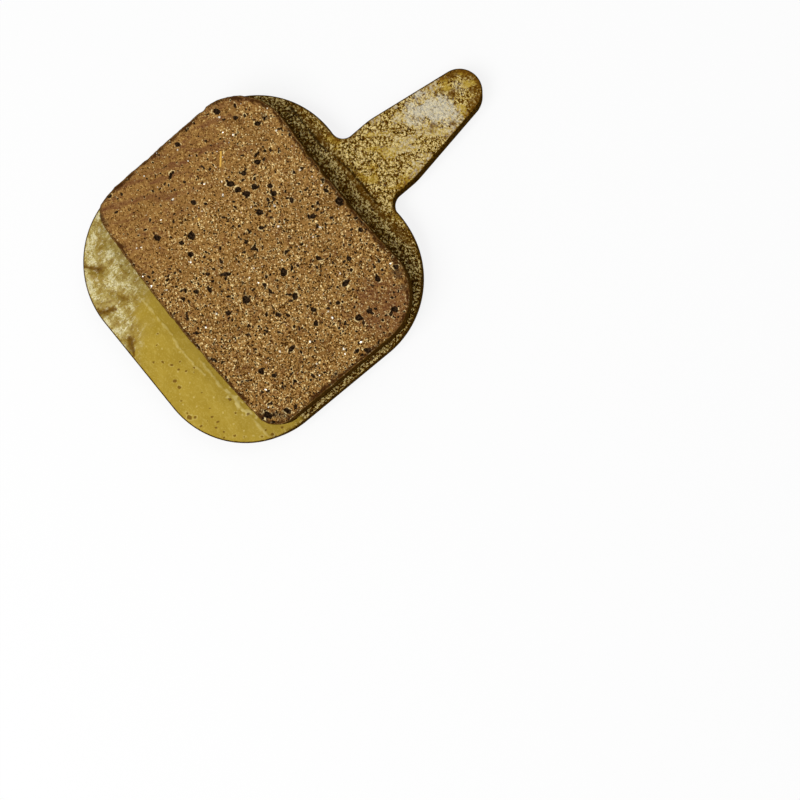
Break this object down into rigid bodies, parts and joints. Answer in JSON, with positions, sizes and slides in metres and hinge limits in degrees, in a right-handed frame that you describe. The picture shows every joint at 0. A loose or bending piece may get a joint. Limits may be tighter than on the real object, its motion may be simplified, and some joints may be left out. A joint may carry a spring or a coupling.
{
  "type": "disc brake pad",
  "caption": "Bicycle disc brake pad: a rounded-square stamped steel back plate with a tapered pulling tab and a sintered metal friction block keyed into the plate's round holes.",
  "frame": {"origin": "centre of the plate's rounded square, on the flat back of the plate", "axes": "+Z from the back of the plate to the friction face, +Y along the pulling tab, +X across the pad"},
  "size_m": [0.025, 0.0366, 0.004],
  "materials": {
    "plate_coating": "steel with a worn golden-olive coating, fine blasted grain",
    "friction_compound": "ground copper-brown sintered metal with dark pits and bright grains"
  },
  "bodies": {
    "root": {"back_plate": "plate_coating", "friction_block": "friction_compound"}
  },
  "joints": []
}
